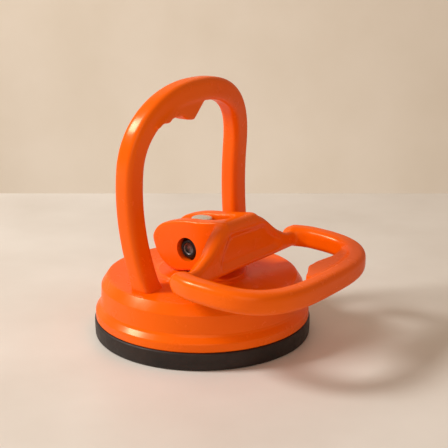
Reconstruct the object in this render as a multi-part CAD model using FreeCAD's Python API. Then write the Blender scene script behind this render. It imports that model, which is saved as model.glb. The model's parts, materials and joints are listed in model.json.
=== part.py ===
import FreeCAD, Part
import math
import os

# Single-cup suction lifter for floor tiles.
# Millimetres. Origin: centre of the sealing plane. +X: the way the open lever points.
# +Y: along the lever's pivot. +Z: up, away from the tile.
V = FreeCAD.Vector
UP = V(0, 0, 1)
ACROSS = V(0, 1, 0)

# ---- sizes set by themselves ---------------------------------------------------------
pad_r = 60.0            # rubber pad, outer radius
pad_rim_h = 9.5         # height of the thick outer ring
pad_rim_w = 8.5         # width of the thick outer ring
pad_web_t = 4.6         # membrane between ring and core
seal_groove_r = 50.0    # sealing groove in the flat underside
seal_groove_w = 2.4
seal_groove_deep = 0.9
pad_collar_w = 3.5      # rubber collar round the core plate

core_r = 25.0           # rigid plate bonded on the membrane
core_t = 3.0
core_hub_r = 11.0
core_hub_h = 3.0
core_lead = 0.6         # chamfer round the plate's edges

shell_inset = 0.7       # shell rim stands in from the pad's edge by this much
shell_rim_h = 4.7
groove_in = 2.9         # groove above the rim, from the rim's face
groove_h = 3.8
band_h = 10.0
band_in = 0.6
bevel_h = 5.0           # bright bevel under the top edge
bevel_in = 3.3
crown = 1.0             # rise of the top from its edge to the boss
wall = 3.0
boss_r = 24.5
boss_h = 1.4
rib_t = 2.2
rib_h = 4.6
rib_count = 8
screw_boss_wall = 2.2   # bosses round the handle screws, under the shell's top
screw_boss_drop = 3.0

wear_t = 1.2
wear_r = 17.0           # the cams only touch near the middle
bush_wall = 2.0
bush_flange_w = 2.2
bush_flange_t = 1.3
bush_len = 7.0

pivot_h = 13.8          # pivot above the wear plate, lever open
pad_lift = 10.0         # how far the core rises when the lever closes
lever_swing = 82.0      # degrees from open to closed
eye_r = 12.5
eye_w = 10.0
cap_r = 6.0             # flat round cap on top of the eye
cap_h = 13.8            # its top above the pivot
cap_lead = 0.5
cap_foot = 2.0          # cap starts this far inside the eye's rim
shank_r = 5.5
neck_wide = 10.8        # half width where the flanks of the eye leave its rim
neck_low = 6.2          # that place, below the pivot
neck_end = 12.9         # where the flanks run out on the shank, below the pivot
thread_r = 4.0
thread_deep = 5.0       # threaded end in the core plate
nut_af = 13.0
nut_h = 5.0

spacer_t = 1.2
side_play = 0.1
cheek_t = 7.5
slot_end_x = 19.4       # front end of the slot between the cheeks
hub_front_x = 30.8
hub_rise = 19.6         # front corner of the hub above the pivot
hub_corner_x = 28.6     # front of the hub's top edge
panel_deep = 1.1        # sunken panel in the hub's front
panel_lip = 3.2         # rim left under the panel
panel_brow = 6.0        # and over it
hub_floor = 7.2         # underside of the hub's front below the pivot

bolt_r = 3.0
head_r = 5.8
head_h = 3.7
head_sink = 0.5         # screw head stands back from the cheek's face
sleeve_t = 1.0
bolt_bush_t = 1.2
key_af = 5.0
key_deep = 2.2
pocket_r = 6.65
washer_t = 0.8
pivot_nut_af = 10.0
pivot_nut_h = 4.4

bar_w = 10.4            # lever bar, across
bar_h = 11.7            # lever bar, height
bar_round = 3.9
arm_in = 4.0            # lever arms at their roots stand in from the loop's widest line
arm_x = 25.5            # where the bar starts
arm_share = 0.24        # part of the loop's reach taken by each straight arm
loop_x = 80.6           # grip centre line
loop_power = 3.16
arm_drop = 2.8          # bar centre below the pivot at the roots
grip_drop = 6.35        # bar centre below the pivot at the grip

hand_x = 11.0           # fixed handle bar, fore and aft
hand_y = 12.4           # fixed handle bar, side to side
hand_round = 3.4
hand_half = 45.4        # widest point, centre line
hand_wide_z = 94.3
hand_top_z = 134.3      # grip centre line
hand_power = 2.34
foot_half = 40.6        # feet, centre line
foot_x = -4.9
hand_back_x = -11.2     # furthest back, at the widest point
hand_top_x = -3.1
foot_seat = 0.6         # feet are let into the shell's top
foot_flare_x = 1.8      # feet are wider than the bar, fore and aft
foot_flare_y = 2.4
foot_flare_h = 9.0

screw_r = 2.0
screw_head_r = 3.6
screw_head_h = 2.6
foot_washer_t = 0.9
insert_wall = 0.9
insert_len = 8.5
grip_web_t = 7.0
grip_web_low = 119.4    # lowest ridge of the finger web
lever_web_t = 8.4
lever_web_in = 63.4     # inner edge of the lever's finger web
edge_round = 2.4        # moulded radius round the cheeks' outer edges

fit = 0.05              # running fit, radial
soft_gap = 0.3          # rubber to a moving rigid piece
hole_play = 0.2         # screw in its clearance hole
cam_gap = 0.15          # cheeks stand off the wear plate when open

# ---- sizes that follow ---------------------------------------------------------------
grip_half = pad_r - bar_w / 2   # the open loop is as wide as the pad
arm_half = grip_half - arm_in
shell_r = pad_r - shell_inset
rim_top = pad_rim_h + shell_rim_h
groove_z = rim_top + groove_h
band_top = groove_z + band_h
edge_z = band_top + bevel_h
groove_r = shell_r - groove_in
band_r = groove_r - band_in
edge_r = band_r - bevel_in
deck_z = edge_z + crown
boss_z = deck_z + boss_h
pivot_z = boss_z + pivot_h
cam_base = pivot_h - cam_gap
cam_rise = pad_lift / math.radians(lever_swing)
slot_half = eye_w / 2 + spacer_t + side_play
hub_half = slot_half + cheek_t
floor_y = slot_half + cheek_t - head_sink - head_h - washer_t
sleeve_r = bolt_r + sleeve_t
bush_r = shank_r + fit + bush_wall
core_z = pad_web_t
stem_foot_z = core_z + core_t + core_hub_h
seat_z = edge_z + crown * 0.3 - foot_seat
screw_x = foot_x - 0.9
screw_y = foot_half + 0.4
screw_seat_z = seat_z - wall - 1.6


def cyl(r, h, at, axis=UP):
    return Part.makeCylinder(r, h, at, axis)


def ring(outer, inner, h, at, axis=UP):
    return cyl(outer, h, at, axis).cut(cyl(inner, h, at, axis))


def prism(af, h, at, axis=UP):
    """Six-sided bar, af across flats."""
    r = af / math.sqrt(3)
    poly = Part.makePolygon([V(r * math.cos(math.radians(60 * i)),
                               r * math.sin(math.radians(60 * i)), 0) for i in range(7)])
    body = Part.Face(poly).extrude(V(0, 0, h))
    body.Placement = FreeCAD.Placement(at, FreeCAD.Rotation(UP, axis))
    return body


def rounded(points, radius):
    """Closed wire through the corner points with every corner rounded."""
    n = len(points)
    radii = radius if isinstance(radius, (list, tuple)) else [radius] * n
    edges, ends = [], []
    for i in range(n):
        p, a, b = points[i], points[i - 1], points[(i + 1) % n]
        u, w = (a - p).normalize(), (b - p).normalize()
        half = u.getAngle(w) / 2
        r = min(radii[i], 0.48 * math.tan(half) * min((a - p).Length, (b - p).Length))
        d = r / math.tan(half)
        mid = p + (u + w).normalize() * (r / math.sin(half) - r)
        ends.append((p + u * d, mid, p + w * d))
    for i in range(n):
        s, m, e = ends[i]
        edges.append(Part.Arc(s, m, e).toShape())
        edges.append(Part.LineSegment(e, ends[(i + 1) % n][0]).toShape())
    return Part.Wire(edges)


def turned(points, radius=0.0):
    """Solid of revolution from (r, z) corner points."""
    pts = [V(r, 0, z) for r, z in points]
    if radius:
        wire = rounded(pts, radius)
    else:
        wire = Part.makePolygon(pts + [pts[0]])
    return Part.Face(wire).revolve(V(0, 0, 0), UP, 360)


def bar_section(w, h, r, at, side, up):
    """Rounded bar section: w along side, h along up."""
    corners = [at + side * (sx * w / 2) + up * (sz * h / 2)
               for sx, sz in ((1, 1), (-1, 1), (-1, -1), (1, -1))]
    return rounded(corners, r)


def swept(points, section, binormal, start=None, end=None):
    curve = Part.BSplineCurve()
    if start is not None:
        curve.interpolate(points, InitialTangent=start, FinalTangent=end)
    else:
        curve.interpolate(points)
    pipe = Part.BRepOffsetAPI.MakePipeShell(Part.Wire([curve.toShape()]))
    pipe.setBiNormalMode(binormal)
    pipe.add(section)
    pipe.build()
    pipe.makeSolid()
    return pipe.shape()


def suction_pad():
    top = core_z
    collar_in = core_r + soft_gap
    collar_out = collar_in + pad_collar_w
    ring_in = pad_r - pad_rim_w
    groove_a, groove_b = seal_groove_r - seal_groove_w / 2, seal_groove_r + seal_groove_w / 2
    deep = seal_groove_deep
    profile = [(0, 0), (groove_a, 0), (groove_a + 0.6, deep), (groove_b - 0.6, deep),
               (groove_b, 0), (pad_r - 0.9, 0), (pad_r, 0.9),
               (pad_r, pad_rim_h - 0.8), (pad_r - 0.8, pad_rim_h), (ring_in, pad_rim_h),
               (ring_in - 2.5, top + 0.6), (ring_in - 4.5, top), (collar_out + 1.5, top),
               (collar_out, top + 1.2), (collar_out - 0.5, top + core_t + 0.8),
               (collar_in, top + core_t + 0.8), (collar_in, top), (0, top)]
    return turned(profile)


def core_plate():
    top = core_z + core_t
    edge = core_r - core_lead
    plate = turned([(0, core_z), (edge, core_z), (core_r, core_z + core_lead),
                    (core_r, top - core_lead), (edge, top),
                    (core_hub_r + core_hub_h / 2, top), (core_hub_r, top + core_hub_h / 2),
                    (core_hub_r, stem_foot_z), (0, stem_foot_z)])
    return plate.cut(cyl(thread_r, thread_deep, V(0, 0, stem_foot_z - thread_deep)))


def lift_stem():
    """Eye on a shank; the threaded end screws down into the core plate."""
    y = -eye_w / 2
    at = V(0, y, pivot_z)
    nut_top = stem_foot_z + washer_t + nut_h
    thread_z = stem_foot_z - thread_deep
    corners = [V(-neck_wide, y, pivot_z - neck_low), V(neck_wide, y, pivot_z - neck_low),
               V(shank_r, y, pivot_z - neck_end), V(-shank_r, y, pivot_z - neck_end)]
    flanks = Part.Face(Part.makePolygon(corners + corners[:1])).extrude(V(0, eye_w, 0))
    cap = turned([(0, pivot_z), (cap_r, pivot_z), (cap_r, pivot_z + cap_h - cap_lead),
                  (cap_r - cap_lead, pivot_z + cap_h), (0, pivot_z + cap_h)])
    waist = Part.makeBox(2 * eye_r, eye_w, cap_h, V(-eye_r, y, pivot_z))
    cap = cap.cut(cyl(eye_r - cap_foot, 2 * eye_w, V(0, -eye_w, pivot_z), ACROSS).cut(waist))
    body = cyl(eye_r, eye_w, at, ACROSS).fuse(flanks).fuse(cap)
    body = body.fuse(cyl(shank_r, pivot_z - eye_r - nut_top + 1, V(0, 0, nut_top)))
    body = body.fuse(cyl(thread_r, nut_top - thread_z + 1, V(0, 0, thread_z)))
    body = body.cut(cyl(sleeve_r + fit + bolt_bush_t, eye_w, at, ACROSS))
    return body.removeSplitter()


def stem_nut():
    z = stem_foot_z + washer_t
    return prism(nut_af, nut_h, V(0, 0, z)).cut(cyl(thread_r, nut_h, V(0, 0, z)))


def stem_washer():
    return ring(nut_af * 0.62, thread_r, washer_t, V(0, 0, stem_foot_z))


def eye_bush():
    inner = sleeve_r + fit
    return ring(inner + bolt_bush_t, inner, eye_w, V(0, -eye_w / 2, pivot_z), ACROSS)


def foot_places():
    return [V(screw_x, s * screw_y, 0) for s in (-1, 1)]


def foot_outline(at, grow=0.0):
    return bar_section(hand_x + foot_flare_x + 2 * grow, hand_y + foot_flare_y + 2 * grow,
                       hand_round + grow, at, V(1, 0, 0), ACROSS)


def base_shell():
    z0 = pad_rim_h
    outer = [(0, z0), (shell_r - 0.5, z0), (shell_r, z0 + 0.5), (shell_r, rim_top - 0.4),
             (shell_r - 0.6, rim_top + 1.4), (groove_r + 0.6, groove_z - 0.9),
             (groove_r, groove_z), (groove_r - 0.1, groove_z + 0.8), (band_r, band_top),
             (edge_r, edge_z), (edge_r - 1.0, edge_z + 0.35), (boss_r + 2.5, deck_z),
             (boss_r + 0.6, deck_z + 0.35), (boss_r, deck_z + 0.9), (boss_r - 0.4, boss_z),
             (0, boss_z)]
    body = turned(outer)
    ceiling = edge_z - wall
    inner = [(0, z0), (shell_r - wall, z0), (shell_r - wall, rim_top - 1.0),
             (groove_r - wall, groove_z), (band_r - wall, band_top - 1.5),
             (edge_r - wall, ceiling), (0, ceiling)]
    cavity = turned(inner)
    hub_r = bush_r + wall
    hub_foot = boss_z - bush_flange_t - bush_len
    keep = cyl(hub_r, ceiling - hub_foot, V(0, 0, hub_foot))
    span = band_r - wall + 0.5 - bush_r
    for i in range(rib_count):
        rib = Part.makeBox(span, rib_t, rib_h, V(bush_r, -rib_t / 2, ceiling - rib_h))
        rib.rotate(V(0, 0, 0), UP, (i + 0.5) * 360.0 / rib_count)
        keep = keep.fuse(rib)
    boss_foot = screw_seat_z - screw_boss_drop
    for p in foot_places():
        keep = keep.fuse(cyl(screw_head_r + screw_boss_wall, ceiling - boss_foot,
                             V(p.x, p.y, boss_foot)))
    body = body.cut(cavity.cut(keep))
    # recess for the wear plate, then the bore and seat of the guide bush
    body = body.cut(cyl(wear_r, wear_t, V(0, 0, boss_z - wear_t)))
    body = body.cut(cyl(bush_r + bush_flange_w, bush_flange_t, V(0, 0, boss_z - bush_flange_t)))
    body = body.cut(cyl(bush_r, boss_z, V(0, 0, 0)))
    for s in (-1, 1):
        at = V(foot_x, s * foot_half, seat_z)
        body = body.cut(Part.Face(foot_outline(at, hole_play)).extrude(V(0, 0, 4)))
    for p in foot_places():
        body = body.cut(cyl(screw_r + hole_play, seat_z, V(p.x, p.y, 0)))
        body = body.cut(cyl(screw_head_r + 0.9, screw_seat_z, V(p.x, p.y, 0)))
    return body.removeSplitter()


def wear_plate():
    inner = bush_r + bush_flange_w + 0.2
    return ring(wear_r, inner, wear_t, V(0, 0, boss_z - wear_t))


def guide_bush():
    z = boss_z - bush_flange_t
    body = cyl(bush_r, bush_len, V(0, 0, z - bush_len))
    body = body.fuse(cyl(bush_r + bush_flange_w, bush_flange_t, V(0, 0, z)))
    return body.cut(cyl(shank_r + fit, 60, V(0, 0, z - 30))).removeSplitter()


def hand_x_at(z):
    """Fore-and-aft line of the handle: back at its widest, forward at the grip."""
    zs = (seat_z, hand_wide_z, hand_top_z)
    xs = (foot_x, hand_back_x, hand_top_x)
    total = 0.0
    for i in range(3):
        term = xs[i]
        for j in range(3):
            if j != i:
                term *= (z - zs[j]) / (zs[i] - zs[j])
        total += term
    return total


def handle_line():
    """Centre line of the fixed handle, from one foot over the grip to the other."""
    side = []
    for i in range(3):
        z = seat_z + (hand_wide_z - seat_z) * i / 3
        s = (hand_wide_z - z) / (hand_wide_z - seat_z)
        side.append((hand_half - (hand_half - foot_half) * s * s, z))
    for i in range(4):
        t = math.radians(90.0 * i / 4)
        side.append((hand_half * math.cos(t) ** (2 / hand_power),
                     hand_wide_z + (hand_top_z - hand_wide_z) * math.sin(t) ** (2 / hand_power)))
    near = [V(hand_x_at(z), -y, z) for y, z in side]
    far = [V(hand_x_at(z), y, z) for y, z in reversed(side)]
    return near + [V(hand_top_x, 0, hand_top_z)] + far


def fixed_handle():
    line = handle_line()
    slope = (line[1] - line[0]).normalize()
    drop = slope * (4.0 / slope.z)
    first = line[0] - drop
    last = V(first.x, -first.y, first.z)
    section = bar_section(hand_x, hand_y, hand_round, first, V(1, 0, 0), ACROSS)
    body = swept([first] + line + [last], section, V(1, 0, 0))
    # finger web under the near half of the grip
    x0 = hand_top_x - grip_web_t / 2
    low, high = grip_web_low, hand_top_z
    web = rounded([V(x0, -hand_half + 6.5, high - 18), V(x0, -31.5, low + 1.2),
                   V(x0, -27.2, low + 0.8), V(x0, -24.0, low + 2.6), V(x0, -17.0, low + 2.8),
                   V(x0, -12.5, low + 0.4),
                   V(x0, -7.0, low), V(x0, 1.0, low + 8.0), V(x0, 5.0, high - 3),
                   V(x0, -18.0, high - 3), V(x0, -33.0, high - 12)],
                  [1, 3, 3, 2, 4, 4, 2.5, 6, 1, 3, 3])
    body = body.fuse(Part.Face(web).extrude(V(grip_web_t, 0, 0)))
    body = body.cut(Part.makeBox(60, 140, 20, V(-30, -70, seat_z - 20)))
    for s in (-1, 1):
        # the bar spreads into a foot
        head_z = seat_z + foot_flare_h
        share = (hand_wide_z - head_z) / (hand_wide_z - seat_z)
        head_y = hand_half - (hand_half - foot_half) * share * share
        base = foot_outline(V(foot_x, s * foot_half, seat_z))
        neck = bar_section(hand_x + 0.1, hand_y + 0.1, hand_round,
                           V(hand_x_at(head_z), s * head_y, head_z), V(1, 0, 0), ACROSS)
        body = body.fuse(Part.makeLoft([base, neck], True, False))
    for p in foot_places():
        body = body.cut(cyl(screw_r + insert_wall, insert_len, V(p.x, p.y, seat_z)))
        body = body.cut(cyl(screw_r + 0.3, insert_len + 2, V(p.x, p.y, seat_z)))
    return body.removeSplitter()


def handle_inserts():
    return [ring(screw_r + insert_wall, screw_r, insert_len, V(p.x, p.y, seat_z))
            for p in foot_places()]


def handle_screws():
    out = []
    for p in foot_places():
        z = screw_seat_z - foot_washer_t
        body = cyl(screw_r, seat_z + insert_len - 1.5 - z, V(p.x, p.y, z))
        body = body.fuse(cyl(screw_head_r, screw_head_h, V(p.x, p.y, z - screw_head_h)))
        body = body.cut(prism(3.0, 1.6, V(p.x, p.y, z - screw_head_h)))
        out.append(body.removeSplitter())
    return out


def handle_washers():
    return [ring(screw_head_r + 0.6, screw_r, foot_washer_t,
                 V(p.x, p.y, screw_seat_z - foot_washer_t)) for p in foot_places()]


def cam_point(turn):
    """Point of the constant-rise cam that touches the wear plate at this lever angle."""
    reach = cam_base + cam_rise * turn
    nx, nz = -math.sin(turn), -math.cos(turn)
    return V(reach * nx - cam_rise * math.cos(turn), -hub_half,
             pivot_z + reach * nz + cam_rise * math.sin(turn))


def cheek_block():
    """Both cheeks and the hub's front as one block; its lower back edge is the cam."""
    y, p = -hub_half, pivot_z
    full = math.radians(lever_swing)
    cam = Part.BSplineCurve()
    cam.interpolate([cam_point(full * i / 9) for i in range(10)],
                    InitialTangent=V(-1, 0, 0),
                    FinalTangent=V(-math.cos(full), 0, math.sin(full)))
    start, end = cam_point(0), cam_point(full)
    heel, brow = V(-15.4, y, p + 13.4), V(6.0, y, p + 17.6)
    back = Part.Arc(end, V(-21.4, y, p + 9.3), heel)
    top = Part.Arc(heel, V(-5.4, y, p + 16.4), brow)
    edges = [cam.toShape(), back.toShape(), top.toShape()]
    corner = V(25.0, y, p + hub_rise)
    edges.append(Part.LineSegment(brow, corner).toShape())
    toe = V(hub_corner_x, y, p + hub_rise - 2.6)
    edges.append(Part.Arc(corner, V(27.4, y, p + hub_rise - 0.6), toe).toShape())
    low = [toe, V(hub_front_x, y, p - hub_floor + 2), V(hub_front_x - 2, y, p - hub_floor),
           V(15.5, y, p - hub_floor), V(11.0, y, p - cam_base), start]
    edges += [Part.LineSegment(a, b).toShape() for a, b in zip(low, low[1:])]
    block = Part.Face(Part.Wire(edges)).extrude(V(0, 2 * hub_half, 0))
    # the moulded radius runs round the back and the top, not along the flat of the cam
    soft = [e for e in block.Edges
            if e.BoundBox.YLength < 0.01 and e.BoundBox.ZMin > p and e.BoundBox.XMin < brow.x + 1]
    return block.makeFillet(edge_round, soft)


def wing(side):
    """Flared web from the hub's corner out to one arm of the loop."""
    floor = pivot_z - hub_floor
    span = arm_half - hub_half
    stations = [(-0.02, 24.0, 18.6, 28.7, 19.0), (0.16, 22.6, 13.8, 29.4, 16.2),
                (0.43, 21.6, 3.2, 29.8, 9.6), (0.70, 21.4, -2.4, 29.8, 4.6),
                (0.97, 21.6, -1.6, 29.6, 2.2)]
    wires = []
    for share, back_x, back_z, front_x, front_z in stations:
        y = side * (hub_half + span * share)
        foot = 15.5 + 4.0 * share
        wires.append(rounded([V(foot, y, floor), V(hub_front_x, y, floor),
                              V(front_x, y, pivot_z + front_z), V(back_x, y, pivot_z + back_z)],
                             [0.8, 1.5, 2.6, 1.6]))
    return Part.makeLoft(wires, True, False)


def front_panel():
    """Cutter for the sunken panel in the lever's sloping front."""
    slope = (hub_front_x - hub_corner_x) / (hub_rise + hub_floor - 4.6)

    def on_front(y, z):
        return V(hub_front_x - slope * (z - pivot_z + hub_floor) - panel_deep, y, z)
    low, high = pivot_z - hub_floor + panel_lip, pivot_z + hub_rise - panel_brow
    face = Part.Face(rounded([on_front(-26.0, low), on_front(38.0, low), on_front(20.5, high - 1.5),
                              on_front(-13.0, high)], [2.0, 2.0, 4.0, 3.0]))
    return face.extrude(V(6, 0, 6 * slope))


def loop_line():
    """Centre line of the lever's loop: arm root, round the grip, arm root."""
    bend_x = arm_x + arm_share * (loop_x - arm_x)

    def drop(x):
        s = max(0.0, (x - arm_x) / (loop_x - arm_x))
        return pivot_z - arm_drop - (grip_drop - arm_drop) * s * s
    side = []
    for i in range(2):
        x = arm_x + (bend_x - arm_x) * i / 2
        y = arm_half + (grip_half - arm_half) * math.sin(math.radians(90) * i / 2)
        side.append((x, y))
    for i in range(5):
        t = math.radians(90.0 * i / 5)
        side.append((bend_x + (loop_x - bend_x) * math.sin(t) ** (2 / loop_power),
                     grip_half * math.cos(t) ** (2 / loop_power)))
    near = [V(x, -y, drop(x)) for x, y in side]
    far = [V(x, y, drop(x)) for x, y in reversed(side)]
    return near + [V(loop_x, 0, drop(loop_x))] + far


def lever_body():
    line = loop_line()
    section = bar_section(bar_w, bar_h, bar_round, line[0], ACROSS, UP)
    loop = swept(line, section, UP)
    body = cheek_block()
    for side in (-1, 1):
        body = body.fuse(wing(side))
    body = body.fuse(loop)
    for side in (-1, 1):
        root = V(arm_x, side * arm_half, pivot_z - arm_drop)
        body = body.fuse(Part.makeSphere(bar_w / 2 + 0.2, root))
    # finger web inside the far half of the grip
    z0 = pivot_z - grip_drop - lever_web_t / 2
    x1 = loop_x - 1
    web = rounded([V(x1, -9, z0), V(lever_web_in + 7.5, -6, z0), V(lever_web_in + 3.5, 2.5, z0),
                   V(lever_web_in, 8.5, z0), V(lever_web_in - 0.6, 18, z0),
                   V(lever_web_in + 1.0, 31, z0), V(lever_web_in - 1.0, 40, z0),
                   V(lever_web_in - 4, grip_half - 2, z0), V(x1 - 7, grip_half - 7, z0),
                   V(x1, 30, z0)], [1, 4, 3, 4, 10, 8, 5, 1, 5, 5])
    body = body.fuse(Part.Face(web).extrude(V(0, 0, lever_web_t)))
    # slot for the stem, open below, behind and above
    slot = Part.makeBox(80, 2 * slot_half, 80,
                        V(slot_end_x - slot_half - 80, -slot_half, pivot_z - 40))
    slot = slot.fuse(cyl(slot_half, 80, V(slot_end_x - slot_half, 0, pivot_z - 40)))
    body = body.cut(slot).cut(front_panel())
    body = body.cut(cyl(bolt_r + hole_play, 80, V(0, -40, pivot_z), ACROSS))
    body = body.cut(cyl(pocket_r, 20, V(0, -floor_y - 20, pivot_z), ACROSS))
    body = body.cut(prism(pivot_nut_af + 2 * hole_play, 20, V(0, floor_y, pivot_z), ACROSS))
    body = body.cut(cyl(pocket_r, washer_t, V(0, floor_y, pivot_z), ACROSS))
    return body.removeSplitter()


def pivot_bolt():
    seat = floor_y + washer_t
    top = seat + head_h
    tip = floor_y + washer_t + pivot_nut_h
    body = cyl(bolt_r, seat + tip, V(0, -seat, pivot_z), ACROSS)
    head = cyl(head_r, head_h, V(0, -top, pivot_z), ACROSS)
    body = body.fuse(head).cut(prism(key_af, key_deep, V(0, -top, pivot_z), ACROSS))
    return body.removeSplitter()


def pivot_nut():
    at = V(0, floor_y + washer_t, pivot_z)
    return prism(pivot_nut_af, pivot_nut_h, at, ACROSS).cut(cyl(bolt_r, pivot_nut_h, at, ACROSS))


def pivot_washers():
    r = min(pocket_r - hole_play, head_r + 1.3)
    return [ring(r, bolt_r, washer_t, V(0, y, pivot_z), ACROSS)
            for y in (-floor_y - washer_t, floor_y)]


def pivot_sleeve():
    half = slot_half
    return ring(sleeve_r, bolt_r, 2 * half, V(0, -half, pivot_z), ACROSS)


def side_spacers():
    t = slot_half - eye_w / 2 - side_play
    return [ring(eye_r - 3, sleeve_r, t, V(0, y, pivot_z), ACROSS)
            for y in (-slot_half, slot_half - t)]


def save(name, shape):
    if isinstance(shape, list):
        shape = Part.Compound(shape)
    shape.exportStep("parts/" + name + ".step")
    print(name, round(shape.Volume), len(shape.Solids), shape.isValid())


os.makedirs("parts", exist_ok=True)
save("suction_pad", suction_pad())
save("base_shell", base_shell())
save("wear_plate", wear_plate())
save("guide_bush", guide_bush())
save("fixed_handle", fixed_handle())
save("handle_inserts", handle_inserts())
save("handle_screws", handle_screws())
save("handle_washers", handle_washers())
save("core_plate", core_plate())
save("lift_stem", lift_stem())
save("stem_nut", stem_nut())
save("stem_washer", stem_washer())
save("eye_bush", eye_bush())
save("lever_body", lever_body())
save("pivot_bolt", pivot_bolt())
save("pivot_nut", pivot_nut())
save("pivot_washers", pivot_washers())
save("pivot_sleeve", pivot_sleeve())
save("side_spacers", side_spacers())
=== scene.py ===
# %% [markdown]
# Suction lifter for floor tiles
#
# The lifter is a round rubber cup under an orange moulded shell. A fixed loop handle stands on
# the shell, and a second loop, the lever, hinges on a steel screw beside it. Swinging the lever
# up turns two cams on the shell's crown, and they pull the middle of the cup upward.
#
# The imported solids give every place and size. This script dresses them: it makes finer meshes
# for what shows, and gives every surface a finish of its own.

# %% Load the frame
import json
import math
import bmesh
import bpy
from mathutils import Matrix, Vector


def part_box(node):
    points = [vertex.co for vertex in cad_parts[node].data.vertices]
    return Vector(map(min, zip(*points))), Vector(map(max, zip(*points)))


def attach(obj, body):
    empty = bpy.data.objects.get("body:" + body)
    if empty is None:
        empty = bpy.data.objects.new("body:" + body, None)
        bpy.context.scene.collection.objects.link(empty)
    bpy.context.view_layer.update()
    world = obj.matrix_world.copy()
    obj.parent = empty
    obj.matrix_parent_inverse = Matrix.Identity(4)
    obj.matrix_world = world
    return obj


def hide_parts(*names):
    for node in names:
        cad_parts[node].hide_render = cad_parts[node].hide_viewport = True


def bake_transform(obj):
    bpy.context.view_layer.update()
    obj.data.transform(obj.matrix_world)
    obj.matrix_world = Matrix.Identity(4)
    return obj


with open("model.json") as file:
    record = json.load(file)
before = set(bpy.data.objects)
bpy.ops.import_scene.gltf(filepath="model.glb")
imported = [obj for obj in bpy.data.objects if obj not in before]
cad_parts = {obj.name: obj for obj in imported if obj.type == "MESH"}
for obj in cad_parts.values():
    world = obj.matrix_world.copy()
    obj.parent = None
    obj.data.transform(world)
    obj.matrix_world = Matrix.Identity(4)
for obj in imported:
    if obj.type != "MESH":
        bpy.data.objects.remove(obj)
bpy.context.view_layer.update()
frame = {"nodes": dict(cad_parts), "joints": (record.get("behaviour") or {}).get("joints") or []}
MM = 0.001

# %% [markdown]
# Every place comes from the solids. A small helper reads a solid's box in millimetres, because
# a maker thinks in millimetres while Blender works in metres.

# %% Read the main sizes
def box_mm(node):
    low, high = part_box(node)
    return [v / MM for v in low], [v / MM for v in high]


joints = {joint["name"]: joint for joint in frame["joints"]}
pivot_z = joints["lever_swing"]["pos_m"][2] / MM
swing = math.radians(joints["lever_swing"]["range_deg"][1])
lift = joints["stem_lift"]["range_m"][1] / MM
_, pad_high = box_mm("suction_pad")
_, shell_high = box_mm("base_shell")
_, bush_high = box_mm("guide_bush")
_, lever_high = box_mm("lever_body")
_, bolt_high = box_mm("pivot_bolt")
_, stem_high = box_mm("lift_stem")
plate_low, plate_high = box_mm("wear_plate")
handle_low, handle_high = box_mm("fixed_handle")
pad_r, pad_rim_top = pad_high[0], pad_high[2]
shell_r, boss_top = shell_high[0], shell_high[2]
print("pad radius", round(pad_r, 1), "boss top", round(boss_top, 1), "pivot", round(pivot_z, 1))

# %% [markdown]
# The camera stands to the right of the open lever and looks a little down, with a long lens, so
# the near and the far side of the cup keep almost the same size.

# %% Camera
view_azimuth = math.radians(36.69)
view_pitch = math.radians(16.131)
camera_place = Vector((323.84, -414.50, 212.52)) * MM
camera_data = bpy.data.cameras.new("camera")
camera_data.sensor_width = 36
camera_data.lens = 80.36
camera_data.clip_start = 0.01
camera = bpy.data.objects.new("camera", camera_data)
camera.location = camera_place
camera.rotation_euler = (math.pi / 2 - view_pitch, 0, view_azimuth)
bpy.context.scene.collection.objects.link(camera)
bpy.context.scene.camera = camera
print("camera is", round(camera_place.length, 3), "m away")

# %% [markdown]
# Colours are written as they look on a screen, so one helper turns them into the linear values
# that the shaders want. Another starts each finish, and three more add noise, spread it between
# two colours or greys, and turn it into fine relief.

# %% Finish helpers
def screen_colour(red, green, blue):
    def linear(c):
        c /= 255
        return c / 12.92 if c <= 0.04045 else ((c + 0.055) / 1.055) ** 2.4
    return (linear(red), linear(green), linear(blue), 1)


def new_finish(name, colour, roughness, metallic=0.0):
    """A material with its node tree and its shader."""
    finish = bpy.data.materials.new(name)
    finish.use_nodes = True
    shader = finish.node_tree.nodes["Principled BSDF"]
    shader.inputs["Base Color"].default_value = colour
    shader.inputs["Roughness"].default_value = roughness
    shader.inputs["Metallic"].default_value = metallic
    return finish, finish.node_tree, shader


def noise(tree, scale, detail=3.0, stretch=(1, 1, 1)):
    """Noise that is fixed to the piece, at a scale in bumps per metre."""
    place = tree.nodes.new("ShaderNodeTexCoord")
    size = tree.nodes.new("ShaderNodeMapping")
    size.inputs["Scale"].default_value = stretch
    cloud = tree.nodes.new("ShaderNodeTexNoise")
    cloud.inputs["Scale"].default_value = scale
    cloud.inputs["Detail"].default_value = detail
    tree.links.new(place.outputs["Object"], size.inputs["Vector"])
    tree.links.new(size.outputs["Vector"], cloud.inputs["Vector"])
    return cloud.outputs["Fac"]


def ramp(tree, source, low, high, socket, start=0.3, stop=0.7):
    """Spreads a 0..1 value between two colours or greys and plugs it in."""
    spread = tree.nodes.new("ShaderNodeValToRGB")
    spread.color_ramp.elements[0].position = start
    spread.color_ramp.elements[1].position = stop
    spread.color_ramp.elements[0].color = low if isinstance(low, tuple) else (low, low, low, 1)
    spread.color_ramp.elements[1].color = high if isinstance(high, tuple) else (high, high, high, 1)
    tree.links.new(source, spread.inputs["Fac"])
    tree.links.new(spread.outputs["Color"], socket)


def bump(tree, shader, height, strength, distance_mm, under=None):
    """Relief from a 0..1 value; a second one is laid over the one under it."""
    relief = tree.nodes.new("ShaderNodeBump")
    relief.inputs["Strength"].default_value = strength
    relief.inputs["Distance"].default_value = distance_mm * MM
    tree.links.new(height, relief.inputs["Height"])
    if under is not None:
        tree.links.new(under.outputs["Normal"], relief.inputs["Normal"])
    tree.links.new(relief.outputs["Normal"], shader.inputs["Normal"])
    return relief

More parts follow.
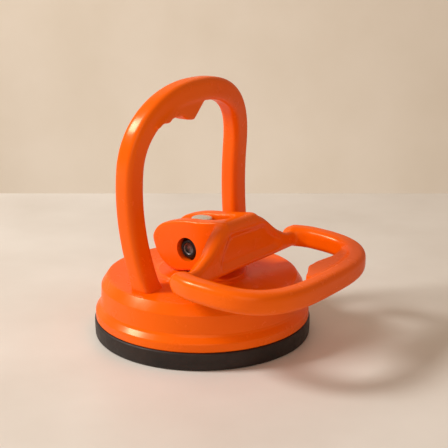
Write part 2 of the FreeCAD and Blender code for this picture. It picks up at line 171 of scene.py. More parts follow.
# %% [markdown]
# The shell, the handle and the lever are one moulded plastic. It is a saturated orange with a
# satin skin: broad soft highlights, a very fine orange-peel from the mould, and slow cloudy
# changes of colour where the melt flowed. Sharp edges are scuffed a little lighter, in patches;
# this lighter colour on the edges is partly a painted edge highlight.

# %% Moulded orange plastic
def scuff_and_edge_highlight(tree, shader, scuff_highlight_colour, amount):
    """Lighter plastic, in patches, where the surface turns sharply outward: partly scuffs, partly a
    painted edge highlight.
    """
    shape = tree.nodes.new("ShaderNodeNewGeometry")
    patchy = tree.nodes.new("ShaderNodeMath")
    patchy.operation = "MULTIPLY"
    ramp(tree, shape.outputs["Pointiness"], 0.0, 1.0, patchy.inputs[0], 0.54, 0.64)
    ramp(tree, noise(tree, 260, 6), 0.0, amount, patchy.inputs[1], 0.45, 0.65)
    mix = tree.nodes.new("ShaderNodeMix")
    mix.data_type = "RGBA"
    tree.links.new(patchy.outputs["Value"], mix.inputs["Factor"])
    tree.links.new(shader.inputs["Base Color"].links[0].from_socket, mix.inputs["A"])
    mix.inputs["B"].default_value = scuff_highlight_colour
    tree.links.new(mix.outputs["Result"], shader.inputs["Base Color"])


def moulded_orange():
    finish, tree, shader = new_finish("moulded_orange", screen_colour(248, 100, 3), 0.32)
    ramp(tree, noise(tree, 16, 2), screen_colour(245, 94, 2), screen_colour(251, 106, 5),
         shader.inputs["Base Color"])
    ramp(tree, noise(tree, 140, 4), 0.20, 0.29, shader.inputs["Roughness"])
    # Lighter, more golden edges: scuff wear together with a painted highlight along the edges.
    scuff_and_edge_highlight(tree, shader, screen_colour(255, 128, 30), 0.35)
    peel = bump(tree, shader, noise(tree, 700, 1), 0.02, 0.02)
    bump(tree, shader, noise(tree, 55, 2), 0.06, 0.25, peel)
    grazing = tree.nodes.new("ShaderNodeLayerWeight")
    facing_gloss, grazing_gloss = 0.46, 0.03
    ramp(tree, grazing.outputs["Facing"], facing_gloss, grazing_gloss,
         shader.inputs["Specular IOR Level"], 0.30, 0.72)
    shader.inputs["Specular Tint"].default_value = screen_colour(255, 196, 148)
    return finish


orange = moulded_orange()
print("finish:", orange.name)

# %% [markdown]
# The cup is dense black rubber. It is not pure black: its skin is brownish, dusty in places and
# slightly uneven, and it only gives a dull sheen.

# %% Rubber
def cup_rubber():
    finish, tree, shader = new_finish("cup_rubber", screen_colour(34, 25, 21), 0.55)
    ramp(tree, noise(tree, 60, 5), screen_colour(26, 19, 16), screen_colour(44, 32, 27),
         shader.inputs["Base Color"])
    ramp(tree, noise(tree, 300, 4), 0.46, 0.66, shader.inputs["Roughness"])
    grain = bump(tree, shader, noise(tree, 2200, 2), 0.12, 0.05)
    bump(tree, shader, noise(tree, 180, 3), 0.10, 0.12, grain)
    shader.inputs["Specular IOR Level"].default_value = 0.36
    return finish


rubber = cup_rubber()
print("finish:", rubber.name)

# %% [markdown]
# Metal parts: a black oxide skin on the screw, bright zinc on the eye that shows between the
# cheeks, plain steel elsewhere. Each gets fine turning or rolling marks and uneven gloss.

# %% Metals and bushes
def metal(name, colour, roughness, stretch):
    finish, tree, shader = new_finish(name, colour, roughness, 1.0)
    darker = tuple(c * 0.82 for c in colour[:3]) + (1,)
    ramp(tree, noise(tree, 90, 4), darker, colour, shader.inputs["Base Color"])
    ramp(tree, noise(tree, 420, 3, stretch), roughness * 0.75, roughness * 1.3,
         shader.inputs["Roughness"])
    bump(tree, shader, noise(tree, 1600, 2, stretch), 0.10, 0.02)
    return finish


zinc = metal("bright_zinc", screen_colour(228, 226, 221), 0.26, (1, 6, 1))
steel = metal("plain_steel", screen_colour(170, 171, 174), 0.32, (1, 1, 7))
brass = metal("turned_brass", screen_colour(200, 168, 98), 0.30, (1, 1, 8))


def black_oxide(name, grey, roughness):
    """Blackened steel; a higher grey paints a highlight on it, as inside the screw's socket."""
    finish, tree, shader = new_finish(name, screen_colour(grey, grey, grey), roughness, 0.8)
    ramp(tree, noise(tree, 500, 4), screen_colour(grey * 0.7, grey * 0.66, grey * 0.66),
         screen_colour(grey * 1.5, grey * 1.42, grey * 1.42), shader.inputs["Base Color"])
    ramp(tree, noise(tree, 700, 3), roughness * 0.8, roughness * 1.3, shader.inputs["Roughness"])
    bump(tree, shader, noise(tree, 2600, 2), 0.10, 0.02)
    return finish


def acetal():
    finish, tree, shader = new_finish("natural_acetal", screen_colour(226, 222, 212), 0.42)
    ramp(tree, noise(tree, 80, 3), screen_colour(220, 215, 203), screen_colour(232, 229, 221),
         shader.inputs["Base Color"])
    bump(tree, shader, noise(tree, 1400, 2, (1, 1, 5)), 0.10, 0.03)
    return finish


oxide = black_oxide("black_oxide", 34, 0.30)
# Lighter oxide: a painted highlight for the inside of the screw's socket.
socket_highlight_oxide = black_oxide("socket_highlight_oxide", 96, 0.40)
bush_plastic = acetal()
print("finishes:", [m.name for m in (zinc, steel, brass, oxide, bush_plastic)])

# %% [markdown]
# Mesh helpers. A lathe turns a profile round the Z axis, a sweep carries a section along a
# line, and a prism raises an outline. Profiles get their rounded corners from one function.

# %% Mesh helpers
def put_mesh(name, points, faces, finish, smooth_angle=40):
    """A mesh object from points in millimetres."""
    mesh = bpy.data.meshes.new(name)
    mesh.from_pydata([Vector(p) * MM for p in points], [], faces)
    work = bmesh.new()
    work.from_mesh(mesh)
    bmesh.ops.remove_doubles(work, verts=work.verts, dist=1e-7)
    bmesh.ops.recalc_face_normals(work, faces=work.faces)
    work.to_mesh(mesh)
    work.free()
    mesh.shade_smooth()
    mesh.set_sharp_from_angle(angle=math.radians(smooth_angle))
    piece = bpy.data.objects.new(name, mesh)
    bpy.context.scene.collection.objects.link(piece)
    if finish is not None:
        mesh.materials.append(finish)
    return piece


def round_corners(corners, steps=6):
    """Corner list of (u, v, radius) to a closed list of points with arcs at the corners."""
    out = []
    for i, (u, v, radius) in enumerate(corners):
        here = Vector((u, v))
        back = Vector(corners[i - 1][:2]) - here
        ahead = Vector(corners[(i + 1) % len(corners)][:2]) - here
        half = back.angle(ahead) / 2
        reach = min(radius / math.tan(half), 0.49 * back.length, 0.49 * ahead.length)
        if radius <= 0 or reach < 1e-6:
            out.append((u, v))
            continue
        real = reach * math.tan(half)
        back.normalize()
        ahead.normalize()
        centre = here + (back + ahead).normalized() * real / math.sin(half)
        first = here + back * reach - centre
        turn = first.angle_signed(here + ahead * reach - centre)
        for k in range(steps + 1):
            spoke = first.copy()
            spoke.rotate(Matrix.Rotation(-turn * k / steps, 2))
            out.append(tuple(centre + spoke))
    return out


def lathe(name, profile, finish, steps=160, smooth_angle=40, start=0.0, sweep_angle=360.0):
    """Turns (r, z) points round Z; a whole turn closes on itself."""
    whole = sweep_angle >= 360
    columns = steps if whole else steps + 1
    points, faces = [], []
    for j in range(columns):
        a = math.radians(start + sweep_angle * j / steps)
        points += [(r * math.cos(a), r * math.sin(a), z) for r, z in profile]
    n = len(profile)
    for j in range(steps):
        k = (j + 1) % columns
        for i in range(n):
            m = (i + 1) % n
            quad = [j * n + i, j * n + m, k * n + m, k * n + i]
            if profile[i][0] < 1e-6 and profile[m][0] < 1e-6:
                continue
            if profile[i][0] < 1e-6:
                quad = quad[:3]
            elif profile[m][0] < 1e-6:
                quad = [quad[0], quad[1], quad[3]]
            faces.append(quad)
    return put_mesh(name, points, faces, finish, smooth_angle)


def skin(name, rings, finish, smooth_angle=40):
    """Closed solid through equal rings of points, with flat ends."""
    n = len(rings[0])
    points = [p for ring in rings for p in ring]
    faces = []
    for j in range(len(rings) - 1):
        for i in range(n):
            m = (i + 1) % n
            faces.append([j * n + i, j * n + m, (j + 1) * n + m, (j + 1) * n + i])
    faces.append(list(range(n))[::-1])
    faces.append([(len(rings) - 1) * n + i for i in range(n)])
    return put_mesh(name, points, faces, finish, smooth_angle)


def sweep(name, line, across, section, finish=None):
    """Carries a (u, v) section along a line; u runs along the fixed direction given."""
    fixed = Vector(across).normalized()
    rings = []
    for i, p in enumerate(line):
        ahead = Vector(line[min(i + 1, len(line) - 1)]) - Vector(line[max(i - 1, 0)])
        side = ahead.cross(fixed).normalized()
        along = side.cross(ahead).normalized()
        if along.dot(fixed) < 0:
            along, side = -along, -side
        rings.append([tuple(Vector(p) + along * u + side * v) for u, v in section])
    return skin(name, rings, finish)

# %% [markdown]
# The moulded parts are hard to draw face by face, because webs, bars and cheeks all run into
# one another with soft fillets. So each is put together from simple overlapping solids, turned
# into one skin by a fine voxel remesh, and then smoothed, which rounds every edge as a mould
# does. Holes that must stay crisp are cut after the smoothing.

# %% Moulding helper
def join(name, pieces):
    bpy.ops.object.select_all(action="DESELECT")
    for piece in pieces:
        piece.select_set(True)
    bpy.context.view_layer.objects.active = pieces[0]
    bpy.ops.object.join()
    pieces[0].name = name
    return pieces[0]


def apply_modifiers(piece):
    """Turns what the modifiers show into the piece's own mesh."""
    bpy.context.view_layer.update()
    shape = piece.evaluated_get(bpy.context.evaluated_depsgraph_get())
    mesh = bpy.data.meshes.new_from_object(shape)
    piece.modifiers.clear()
    piece.data = mesh


def cut_away(piece, cutter):
    """Takes the cutter's form out of the piece, and removes the cutter."""
    knife = piece.modifiers.new("cut", "BOOLEAN")
    knife.operation = "DIFFERENCE"
    knife.solver = "EXACT"
    knife.object = cutter
    apply_modifiers(piece)
    bpy.data.objects.remove(cutter)


def voxel_skin(piece, voxel=0.5):
    """One closed skin round the piece, from voxels of this size in millimetres."""
    remesh = piece.modifiers.new("skin", "REMESH")
    remesh.mode = "VOXEL"
    remesh.voxel_size = voxel * MM
    apply_modifiers(piece)


def moulded(name, solids, early_cuts, finish, soften):
    """One smooth skin round several overlapping solids; early cuts get soft edges too."""
    piece = join(name, solids)
    voxel_skin(piece)
    for cutter in early_cuts:
        cut_away(piece, cutter)
    if early_cuts:
        voxel_skin(piece)
    ease = piece.modifiers.new("ease", "SMOOTH")
    ease.factor = 0.5
    ease.iterations = soften
    apply_modifiers(piece)
    piece.data.materials.clear()
    piece.data.materials.append(finish)
    piece.data.shade_smooth()
    return piece

# %% [markdown]
# The shell is a turned form: a rim that presses on the rubber, a groove, a plain band, a bright
# bevel, and a nearly flat crown with a low boss in its middle. A lathe profile with a radius at
# each corner gives all of it. Its inside stays open, as the real one is, and a recess in the boss
# takes the wear plate and the stem's bush.

# %% Shell
def shell_profile():
    rim = pad_rim_top
    wall = 3.0
    bush_bottom = boss_top - 12.3
    plate_r, plate_t = plate_high[0] + 0.05, plate_high[2] - plate_low[2] + 0.1
    bush_r = bush_high[0] - 2.2
    return round_corners([
        (shell_r - 0.5, rim, 0.3), (shell_r, rim + 0.6, 0.4), (shell_r, rim + 4.6, 1.6),
        (shell_r - 2.4, rim + 7.4, 1.2), (shell_r - 3.0, rim + 8.7, 0.5),
        (shell_r - 3.5, rim + 18.5, 0.9), (shell_r - 6.8, rim + 23.5, 0.5),
        (shell_r - 8.2, rim + 23.9, 1.0), (27.0, rim + 24.5, 2.0), (24.9, rim + 25.0, 0.8),
        (24.3, boss_top, 0.7), (plate_r, boss_top, 0.2), (plate_r, boss_top - plate_t, 0.0),
        (bush_r, boss_top - plate_t, 0.0), (bush_r, bush_bottom, 0.2),
        (10.5, bush_bottom, 0.2), (10.5, rim + 20.5, 1.0), (shell_r - 9.8, rim + 20.5, 1.5),
        (shell_r - 6.5, rim + 17.0, 1.5), (shell_r - 5.9, rim + 8.5, 1.0),
        (shell_r - wall, rim + 3.5, 1.0), (shell_r - wall, rim, 0.3)])


shell = lathe("shell_cover", shell_profile(), orange, steps=200, smooth_angle=50)
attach(shell, "shell")
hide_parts("base_shell")
print("shell faces:", len(shell.data.polygons))

# %% [markdown]
# The fixed handle is a bar bent into a tall loop. Seen from the side it leans back at its
# widest point and comes forward again at the grip. Its line is a superellipse, which is rounder
# than a rectangle and squarer than a circle. A finger web hangs under the near half of the grip,
# and each foot flares a little where it meets the shell. Smoothing takes some thickness off a
# bar, so bars start a little thicker than they end.

# %% Fixed handle
smoothing_loss = 0.1
hand_fore, hand_wide = 11.0, 12.4
foot_z = handle_low[2]
hand_half = handle_high[1] - hand_wide / 2
grip_z = handle_high[2] - hand_wide / 2
wide_z = foot_z + 0.606 * (grip_z - foot_z)
foot_half, foot_x, back_x, grip_x = 40.6, -4.9, -11.2, -3.1
print("handle half width", round(hand_half, 1), "grip height", round(grip_z, 1))


def handle_x(z):
    """Lean of the handle, a parabola through foot, widest point and grip."""
    spots = [(foot_z, foot_x), (wide_z, back_x), (grip_z, grip_x)]
    total = 0.0
    for i, (zi, xi) in enumerate(spots):
        for j, (zj, _) in enumerate(spots):
            if j != i:
                xi *= (z - zj) / (zi - zj)
        total += xi
    return total


def leg_y(z):
    """How far a leg stands out; it draws in toward the foot."""
    s = (wide_z - z) / (wide_z - foot_z)
    return hand_half - (hand_half - foot_half) * s * s


def handle_line(steps=26, power=2.34):
    """Middle line of the bar, from a little below the near foot to the far one."""
    side = []
    for i in range(-2, steps):
        z = foot_z + (wide_z - foot_z) * i / steps
        side.append((leg_y(z), z))
    for i in range(steps):
        t = math.pi / 2 * i / steps
        side.append((hand_half * math.cos(t) ** (2 / power),
                     wide_z + (grip_z - wide_z) * math.sin(t) ** (2 / power)))
    near = [(handle_x(z), -y, z) for y, z in side]
    far = [(handle_x(z), y, z) for y, z in reversed(side)]
    return near + [(grip_x, 0, grip_z)] + far


def bar(width, height, radius, steps=5):
    """Section of a bar, a rectangle with round corners."""
    u, v = width / 2, height / 2
    corners = [(-u, -v, radius), (u, -v, radius), (u, v, radius), (-u, v, radius)]
    return round_corners(corners, steps)


def grip_web():
    """Finger web under the near half of the grip: two ridges with a scallop between."""
    low, half_thick = 119.4, 4.4
    outline = round_corners([
        (-hand_half + 6.5, grip_z - 18, 1), (-31.5, low + 1.2, 3), (-27.2, low + 0.6, 2.5),
        (-24.0, low + 2.8, 1.5), (-17.0, low + 3.0, 4), (-12.5, low + 0.4, 3.5),
        (-7.0, low - 0.3, 2), (1.5, low + 8.3, 6), (5.0, grip_z - 3, 1), (-18.0, grip_z - 3, 3),
        (-33.0, grip_z - 12, 3)])
    return skin("grip_web", [[(x, y, z) for y, z in outline]
                             for x in (grip_x - half_thick, grip_x + half_thick)], None)


def handle_foot(side):
    """Flare of one foot, a short loft that thins out upward."""
    rings = []
    levels = 5
    for level in range(levels + 1):
        z = foot_z + 9.0 * level / levels
        flare = (1 - level / levels) ** 1.5
        section = bar(hand_fore + 1.8 * flare, hand_wide + 2.4 * flare, 3.2)
        rings.append([(handle_x(z) + u, side * leg_y(z) + v, z) for u, v in section])
    return skin("handle_foot", rings, None)


def below_feet():
    """Knife for what the smoothing leaves under the feet."""
    return skin("floor_knife", [[(-30, -70, z), (20, -70, z), (20, 70, z), (-30, 70, z)]
                                for z in (foot_z - 20, foot_z + 0.02)], None)


hand_section = bar(hand_fore + smoothing_loss, hand_wide + smoothing_loss, 3.0)
handle = moulded("loop_handle", [
    sweep("handle_bar", handle_line(), (1, 0, 0), hand_section),
    grip_web(), handle_foot(-1), handle_foot(1)], [], orange, soften=22)
cut_away(handle, below_feet())
handle.data.shade_smooth()
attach(handle, "shell")
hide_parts("fixed_handle")
print("handle faces:", len(handle.data.polygons))

# %% [markdown]
# The lever starts as two cheeks round the pivot. Their lower back edge is the cam: its distance
# from the pivot grows evenly with the angle, so an even swing gives an even pull. The cheeks
# meet in a steep front wall, which flares into a wing on each side and carries the loop.

# %% Lever cheeks
cam_gap = 0.15
cam_rise = lift / swing
cam_base = pivot_z - boss_top - cam_gap
hub_half = 13.8
slot_half = 6.3
slot_end = 20.0
hub_front_x = 30.8
hub_corner_x = 28.6
hub_rise = 19.6
hub_floor = pivot_z - 7.2


def cam_point(turn):
    """Point of the cam that rests on the boss when the lever has swung by this angle."""
    reach = cam_base + cam_rise * turn
    return (-reach * math.sin(turn) - cam_rise * math.cos(turn),
            pivot_z - reach * math.cos(turn) + cam_rise * math.sin(turn))


def arc(first, middle, last, steps=10):
    """Points of the circle through three (u, v) points, without the last."""
    ax, ay = Vector(middle) - Vector(first)
    bx, by = Vector(last) - Vector(first)
    cross = 2 * (ax * by - ay * bx)
    ux = (by * (ax * ax + ay * ay) - ay * (bx * bx + by * by)) / cross
    uy = (ax * (bx * bx + by * by) - bx * (ax * ax + ay * ay)) / cross
    centre = Vector(first) + Vector((ux, uy))
    start = Vector(first) - centre
    turn = start.angle_signed(Vector(last) - centre)
    points = []
    for i in range(steps):
        spoke = start.copy()
        spoke.rotate(Matrix.Rotation(-turn * i / steps, 2))
        points.append(tuple(centre + spoke))
    return points


def cheek_outline(steps=24):
    """Side view of the cheeks: cam, back, top and front, all round."""
    cam = [cam_point(swing * i / steps) for i in range(steps + 1)]
    heel = (-15.4, pivot_z + 12.7)
    brow = (6.0, pivot_z + 16.5)
    back = arc(cam[-1], (-21.4, pivot_z + 8.9), heel)
    top = arc(heel, (-5.4, pivot_z + 15.4), brow)
    front = round_corners([brow + (0,), (28.2, pivot_z + hub_rise + 0.3, 4.2),
                           (hub_front_x, hub_floor, 1.5), (15.5, hub_floor, 2),
                           (11.0, pivot_z - cam_base, 1.5)])
    return cam[:-1] + back + top + front


cheeks = skin("cheeks", [[(x, y, z) for x, z in cheek_outline()]
                         for y in (-hub_half, hub_half)], None)
print("cam rises", round(cam_rise, 2), "mm per radian")

# %% [markdown]
# A wing spreads from each corner of the hub, and the loop's arms grow out of the wings. The loop
# drops a little toward the grip, and the grip has a finger web inside its far half. Two knives
# then open the gap for the stem between the cheeks and sink a shallow panel into the front.

# %% Lever wings and loop
bar_w, bar_h = 10.4, 11.7
arm_half = 50.8
grip_half = lever_high[1] - bar_w / 2
loop_x = lever_high[0] - bar_w / 2
arm_x = 25.5
arm_drop, grip_drop = 2.8, 6.35


def wing(side):
    """Web that spreads from the hub's corner to one arm, as a loft through five outlines."""
    stations = [(-0.05, 20.4, 18.9, 28.7, 19.3), (0.16, 20.2, 13.8, 29.4, 16.2),
                (0.43, 20.8, 3.2, 29.8, 9.6), (0.70, 21.4, -2.4, 29.8, 4.6),
                (0.97, 21.6, -1.6, 29.6, 2.2)]

    def between(share):
        """The outline's numbers at this share of the way to the arm."""
        for a, b in zip(stations, stations[1:]):
            if share <= b[0] or b is stations[-1]:
                t = (share - a[0]) / (b[0] - a[0])
                return [p + (q - p) * t for p, q in zip(a, b)]
    first, last = stations[0][0], stations[-1][0]
    rings = []
    levels = 12
    for k in range(levels + 1):
        share = first + (last - first) * k / levels
        _, back_x, back_z, front_x, front_z = between(share)
        y = side * (hub_half + (arm_half - hub_half) * share)
        outline = round_corners([(15.5 + 4 * share, hub_floor, 0.8), (hub_front_x, hub_floor, 1.2),
                                 (front_x, pivot_z + front_z, 7.0),
                                 (back_x, pivot_z + back_z, 1.4)])
        rings.append([(x, y, z) for x, z in outline])
    return skin("wing", rings, None)


def loop_line(power=3.16, steps=26, arm_steps=8):
    """Middle line of the loop, from the near arm's root round the grip to the far one's."""
    bend_x = arm_x + 0.24 * (loop_x - arm_x)

    def height(x):
        s = max(0.0, (x - arm_x) / (loop_x - arm_x))
        return pivot_z - arm_drop - (grip_drop - arm_drop) * s * s
    side = []
    for i in range(arm_steps):
        t = i / arm_steps
        x = arm_x + (bend_x - arm_x) * t
        side.append((x, arm_half + (grip_half - arm_half) * math.sin(math.pi / 2 * t)))
    for i in range(steps):
        t = math.pi / 2 * i / steps
        side.append((bend_x + (loop_x - bend_x) * math.sin(t) ** (2 / power),
                     grip_half * math.cos(t) ** (2 / power)))
    near = [(x, -y, height(x)) for x, y in side]
    far = [(x, y, height(x)) for x, y in reversed(side)]
    return near + [(loop_x, 0, height(loop_x))] + far


def ball(centre, radius, steps=16):
    """Rounds the joint between a wing and its arm."""
    turns = [math.pi * i / steps - math.pi / 2 for i in range(steps + 1)]
    half_circle = [(radius * math.cos(a), radius * math.sin(a)) for a in turns]
    piece = lathe("ball", half_circle, None, steps=32)
    piece.data.transform(Matrix.Translation(Vector(centre) * MM))
    return piece


def lever_web():
    """Finger web inside the far half of the grip."""
    inner, half_thick = 63.4, 4.2
    outline = round_corners([
        (loop_x - 1, -9, 1), (inner + 7.5, -6, 4), (inner + 3.5, 2.5, 3), (inner, 8.5, 3.5),
        (inner - 0.6, 18, 10), (inner + 1.0, 31, 8), (inner - 1.0, 40, 5),
        (inner - 4, grip_half - 2, 1), (loop_x - 8, grip_half - 7, 5), (loop_x - 1, 30, 5)])
    middle_z = pivot_z - grip_drop
    return skin("lever_web", [[(x, y, z) for x, y in outline]
                              for z in (middle_z - half_thick, middle_z + half_thick)], None)


def stem_slot():
    """Knife for the gap between the cheeks, round at its front end."""
    end = slot_end - slot_half
    outline = [(-60, -slot_half), (end, -slot_half)]
    outline += [(end + slot_half * math.cos(a), slot_half * math.sin(a))
                for a in (math.radians(-90 + 15 * k) for k in range(1, 12))]
    outline += [(end, slot_half), (-60, slot_half)]
    return skin("slot_knife", [[(x, y, z) for x, y in outline]
                               for z in (pivot_z - 40, pivot_z + 40)], None)


def front_panel():
    """Knife for the shallow sunken panel in the sloping front."""
    low, high = hub_floor + 3.2, pivot_z + hub_rise - 6.0
    slope = (hub_front_x - hub_corner_x) / (hub_rise + 2.6)
    levels = ((-1.7, 2.4), (0.5, -0.8), (6, -0.8))

    def edge(inset):
        return round_corners([
            (-26.0 + inset, low + inset, 3), (38.0 - inset, low + inset, 3),
            (20.5 - inset, high - 1.5 - inset, 5), (-13.0 + inset, high - inset, 4)])
    return skin("panel_knife", [[(hub_front_x - slope * (z - hub_floor) + out, y, z)
                                 for y, z in edge(inset)] for out, inset in levels], None)


near_root, far_root = [(arm_x, s * arm_half, pivot_z - arm_drop) for s in (-1, 1)]
arm_section = bar(bar_h + smoothing_loss, bar_w + smoothing_loss, 3.6)
lever = moulded("loop_lever", [
    cheeks, wing(-1), wing(1), sweep("lever_bar", loop_line(), (0, 0, 1), arm_section),
    ball(near_root, 5.4), ball(far_root, 5.4), lever_web()],
    [stem_slot(), front_panel()], orange, soften=30)
print("lever faces:", len(lever.data.polygons))

# %% [markdown]
# The pivot screw sits in a round pocket on the near cheek, and its nut in a pocket on the far
# cheek. Both pockets are cut after the smoothing, so that their rims stay crisp.

# %% Pivot pockets
pocket_r, pocket_y = 6.65, 8.8
bolt_hole_r = 3.2


def drill(radius, y0, y1, steps=64):
    """Round knife along the pivot."""
    return skin("drill", [[(radius * math.cos(math.tau * i / steps), y,
                            pivot_z + radius * math.sin(math.tau * i / steps))
                           for i in range(steps)] for y in (y0, y1)], None)


cut_away(lever, drill(pocket_r, -40, -pocket_y))
cut_away(lever, drill(pocket_r, pocket_y, 40))
cut_away(lever, drill(bolt_hole_r, -30, 30))
lever.data.shade_smooth()
lever.data.set_sharp_from_angle(angle=math.radians(50))
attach(lever, "lever")
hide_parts("lever_body")
print("lever faces after the pockets:", len(lever.data.polygons))

# %% [markdown]
# The cup is a thick rubber ring that stands on the tile, with a thinner membrane inside it. The
# ring stays with the shell. A shallow groove under the seam parts its face from the membrane's.

# %% Rubber ring
def ring_profile():
    inner = pad_r - 8.5
    return round_corners([
        (51.2, 0.0, 0.2), (pad_r - 0.2, 0.0, 1.0), (pad_r, 4.6, 1.0),
        (pad_r, pad_rim_top, 1.1), (inner, pad_rim_top, 0.5), (inner - 2.5, 5.2, 0.8),
        (49.6, 4.6, 0.2), (49.6, 0.9, 0.1), (50.6, 0.9, 0.1)])


rubber_ring = lathe("rubber_ring", ring_profile(), rubber, steps=200, smooth_angle=50)
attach(rubber_ring, "shell")
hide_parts("suction_pad")
print("ring faces:", len(rubber_ring.data.polygons))

# %% [markdown]
# The middle of the cup rises with the stem while its edge stays down. The membrane is made in
# sectors, each turned from the same profile.

# %% Rubber membrane
sectors = 16
web_steps = 12
web_t = 4.6
web_edge = 49.7
collar_in, collar_out, collar_top = 25.3, 28.3, 8.4


def membrane_profile():
    """Half section from the axis: flat below, with a collar round the core plate above."""
    below = [(0.0, 0.0), (25.0, 0.0)]
    below += [(26.0 + 23.6 * i / web_steps, 0.0) for i in range(web_steps)]
    lip = [(48.7, 0.0), (49.4, 0.9), (web_edge, 0.9), (web_edge, web_t)]
    above = [(48.0 - 1.6 * i, web_t) for i in range(web_steps)]
    collar = [(28.9, 5.6), (collar_out, collar_top), (collar_in, collar_top), (collar_in, web_t)]
    return below + lip + above + collar + [(0.0, web_t)]


for k in range(sectors):
    middle = 360 / sectors * (k + 0.5)
    sector = lathe(f"membrane_{k + 1:02d}", membrane_profile(), rubber, steps=6,
                   smooth_angle=50, start=middle - 180 / sectors, sweep_angle=360 / sectors)
    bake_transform(sector)
    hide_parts("suction_pad")
print("membrane sectors:", sectors)

# %% [markdown]
# The pivot screw is a socket head cap screw. Its head is a short cylinder with a chamfered,
# knurled rim and a six-sided socket that is deeper than it looks.

# %% Pivot screw
head_r, head_h = 5.6, 3.5
socket_deep, socket_half = 1.9, 2.5


def along_pivot(piece):
    """Lays a piece made round Z on the pivot, with its top toward the near side."""
    turn = Matrix.Rotation(math.radians(90), 4, "X")
    piece.data.transform(Matrix.Translation(Vector((0, 0, pivot_z)) * MM) @ turn)
    return piece


def screw_head(count=72):
    """Knurled head with a hexagon socket, made as rings from the outside in."""
    def circle(radius, z, knurl=0.0):
        return [((radius - knurl * (i % 2)) * math.cos(math.tau * i / count),
                 (radius - knurl * (i % 2)) * math.sin(math.tau * i / count), z)
                for i in range(count)]

    def hexagon(half_flat, z):
        ring = []
        for i in range(count):
            a = math.tau * i / count
            from_flat = (a + math.pi / 6) % (math.pi / 3) - math.pi / 6
            r = half_flat / math.cos(from_flat)
            ring.append((r * math.cos(a), r * math.sin(a), z))
        return ring
    floor = head_h - socket_deep
    rings = [circle(head_r - 0.1, 0), circle(head_r, 0.2, 0.16), circle(head_r, head_h - 1.0, 0.16),
             circle(head_r - 0.15, head_h - 0.85), circle(head_r - 0.95, head_h - 0.1),
             circle(head_r - 1.2, head_h), circle(3.4, head_h), circle(3.1, head_h - 0.2),
             hexagon(socket_half, head_h - 0.5), hexagon(socket_half, floor),
             circle(1.4, floor - 0.3), circle(0.1, floor - 0.4)]
    piece = skin("screw_head", rings, oxide, smooth_angle=35)
    # Faces inside the socket take the lighter oxide, which is a painted highlight in the socket.
    piece.data.materials.append(socket_highlight_oxide)
    for face in piece.data.polygons:
        centre = face.center / MM
        if centre.xy.length < 3.0 and centre.z > 0.2:
            face.material_index = 1
    return piece


head = screw_head()
head.data.transform(Matrix.Translation(Vector((0, 0, pocket_y)) * MM))
head = along_pivot(head)
print("screw head", 2 * head_r, "mm across and", head_h, "mm high")

# %% [markdown]
# The screw's shank runs through both cheeks to the nut on the far side. Head and shank are one
# piece; the nut and the washers keep their solid shape.

# %% Screw shank
def shank():
    top, end = pocket_y + 0.05, -bolt_high[1]
    profile = round_corners([(0, top, 0), (3.0, top, 0), (3.0, end, 0.4), (0, end, 0)])
    return lathe("screw_shank", profile, oxide, steps=48)


screw = join("pivot_screw", [head, along_pivot(shank())])
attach(screw, "lever")
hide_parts("pivot_bolt")
print("screw faces:", len(screw.data.polygons))

# %% [markdown]
# A low zinc cap closes the top of the stem's eye. It shows between the cheeks as a pale disc.

# %% Stem cap
cap_r = 5.8
cap_low, cap_top = stem_high[2] - 0.6, stem_high[2] + 1.6
cap_profile = round_corners([(0, cap_low, 0), (cap_r, cap_low, 0.2), (cap_r, cap_top - 0.3, 0.8),
                             (0, cap_top, 0)])
cap = lathe("stem_cap", cap_profile, zinc, steps=96)
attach(cap, "stem")
print("cap top", round(cap_top, 1))

# %% [markdown]
# The remaining nodes keep their solid shape and only get a finish.

# %% Finishes of the plain nodes
plain = {"wear_plate": orange, "guide_bush": bush_plastic, "handle_inserts": brass,
         "handle_screws": steel, "handle_washers": steel, "core_plate": zinc,
         "lift_stem": zinc, "stem_nut": steel, "stem_washer": steel, "eye_bush": bush_plastic,
         "pivot_nut": steel, "pivot_washers": oxide, "pivot_sleeve": steel,
         "side_spacers": bush_plastic}
for node, finish in plain.items():
    solid = frame["nodes"][node]
    solid.data.materials.clear()
    solid.data.materials.append(finish)
print("plain nodes:", len(plain))

# %% [markdown]
# The lifter stands on a pale table top. The table ends behind it, and a warm pale wall stands
# farther back, which leaves room to look at the lifter from behind.

# %% Table and wall
stage_half = 1.6


def plaster(name, dark, light):
    """Dull pale surface with slow clouds between two close colours."""
    finish, tree, shader = new_finish(name, light, 0.5)
    ramp(tree, noise(tree, 9, 5), dark, light, shader.inputs["Base Color"])
    return finish


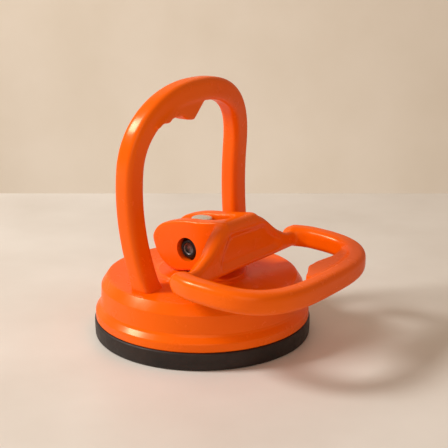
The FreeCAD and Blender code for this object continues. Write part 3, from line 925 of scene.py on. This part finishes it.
def stage_block(name, near, far, bottom, top, finish):
    """Long box across the view; near and far are metres behind the object's middle."""
    ahead = Vector((-math.sin(view_azimuth), math.cos(view_azimuth), 0))
    right = Vector((math.cos(view_azimuth), math.sin(view_azimuth), 0))
    corners = [(near, bottom), (far, bottom), (far, top), (near, top)]
    rings = [[tuple((ahead * u + right * s + Vector((0, 0, z))) / MM) for u, z in corners]
             for s in (-stage_half, stage_half)]
    piece = skin(name, rings, finish)
    return piece


pale_table = plaster("pale_table", screen_colour(218, 211, 202), screen_colour(232, 227, 220))
warm_wall = plaster("warm_wall", screen_colour(230, 218, 201), screen_colour(236, 225, 210))
table = stage_block("table", -1.4, 0.304, -0.03, -0.0002, pale_table)
wall = stage_block("wall", 0.90, 0.92, -0.40, 1.6, warm_wall)
print("stage:", table.name, wall.name)

# %% [markdown]
# One large lamp stands high on the left. A weak one at the right opens the shadows, and one below
# the table's far edge lights the wall. The sky is pale and warm.

# %% Lights
def soft_lamp(name, place, power, size, colour, target=(0, 0, 0.05)):
    """Round lamp; places are in metres, and it faces its target."""
    lamp = bpy.data.lights.new(name, "AREA")
    lamp.energy = power
    lamp.shape = "DISK"
    lamp.size = size
    lamp.color = colour
    holder = bpy.data.objects.new(name, lamp)
    holder.location = place
    aim = Vector(target) - Vector(place)
    holder.rotation_euler = aim.to_track_quat("-Z", "Y").to_euler()
    bpy.context.scene.collection.objects.link(holder)


soft_lamp("key_lamp", (-0.90, -0.72, 0.98), power=19, size=0.42, colour=(1.0, 0.98, 0.95))
soft_lamp("fill_lamp", (0.62, -1.00, 0.50), power=3.2, size=1.0, colour=(1.0, 0.84, 0.70))
soft_lamp("wall_lamp", (-0.27, 0.36, -0.30), power=1.15, size=0.8, colour=(1.0, 0.96, 0.90),
          target=(-0.56, 0.76, 0.20))
world = bpy.data.worlds.new("pale_sky")
bpy.context.scene.world = world
world.use_nodes = True
sky = world.node_tree.nodes["Background"]
sky.inputs["Color"].default_value = screen_colour(255, 230, 206)
sky.inputs["Strength"].default_value = 0.35
bpy.context.scene.view_settings.view_transform = "Standard"
print("lamps placed")
